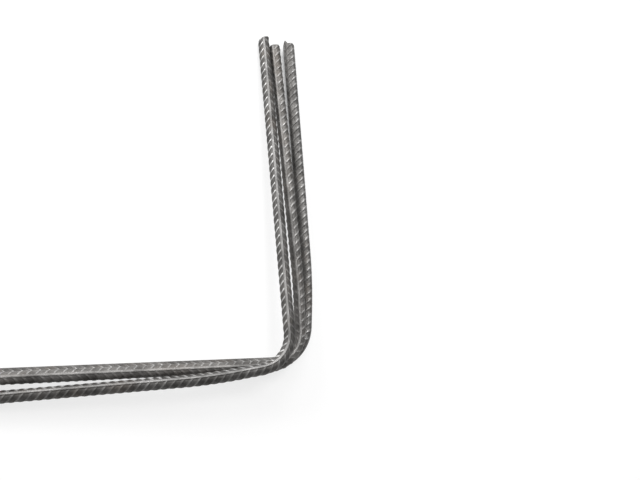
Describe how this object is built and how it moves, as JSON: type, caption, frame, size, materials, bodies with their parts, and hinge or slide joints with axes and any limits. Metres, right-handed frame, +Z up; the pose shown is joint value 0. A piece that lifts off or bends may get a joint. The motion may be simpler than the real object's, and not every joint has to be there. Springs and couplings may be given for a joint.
{
  "type": "bundle of l-shaped rebar stirrups",
  "caption": "Loose bundle of ribbed steel reinforcing bars, each bent once to a right angle, lying across one another at the bend.",
  "frame": {"origin": "middle of the bundle's bounding box, on the floor that it lies on", "axes": "+Z up from the floor, +Y along the far legs, -X along the side legs"},
  "size_m": [0.4508, 0.4146, 0.0393],
  "materials": {
    "bar_steel": "dark grey hot-rolled mill scale, worn bright on the rib crests"
  },
  "bodies": {
    "root": {"lower_stirrup": "bar_steel", "middle_stirrup": "bar_steel", "top_stirrup": "bar_steel"}
  },
  "joints": []
}
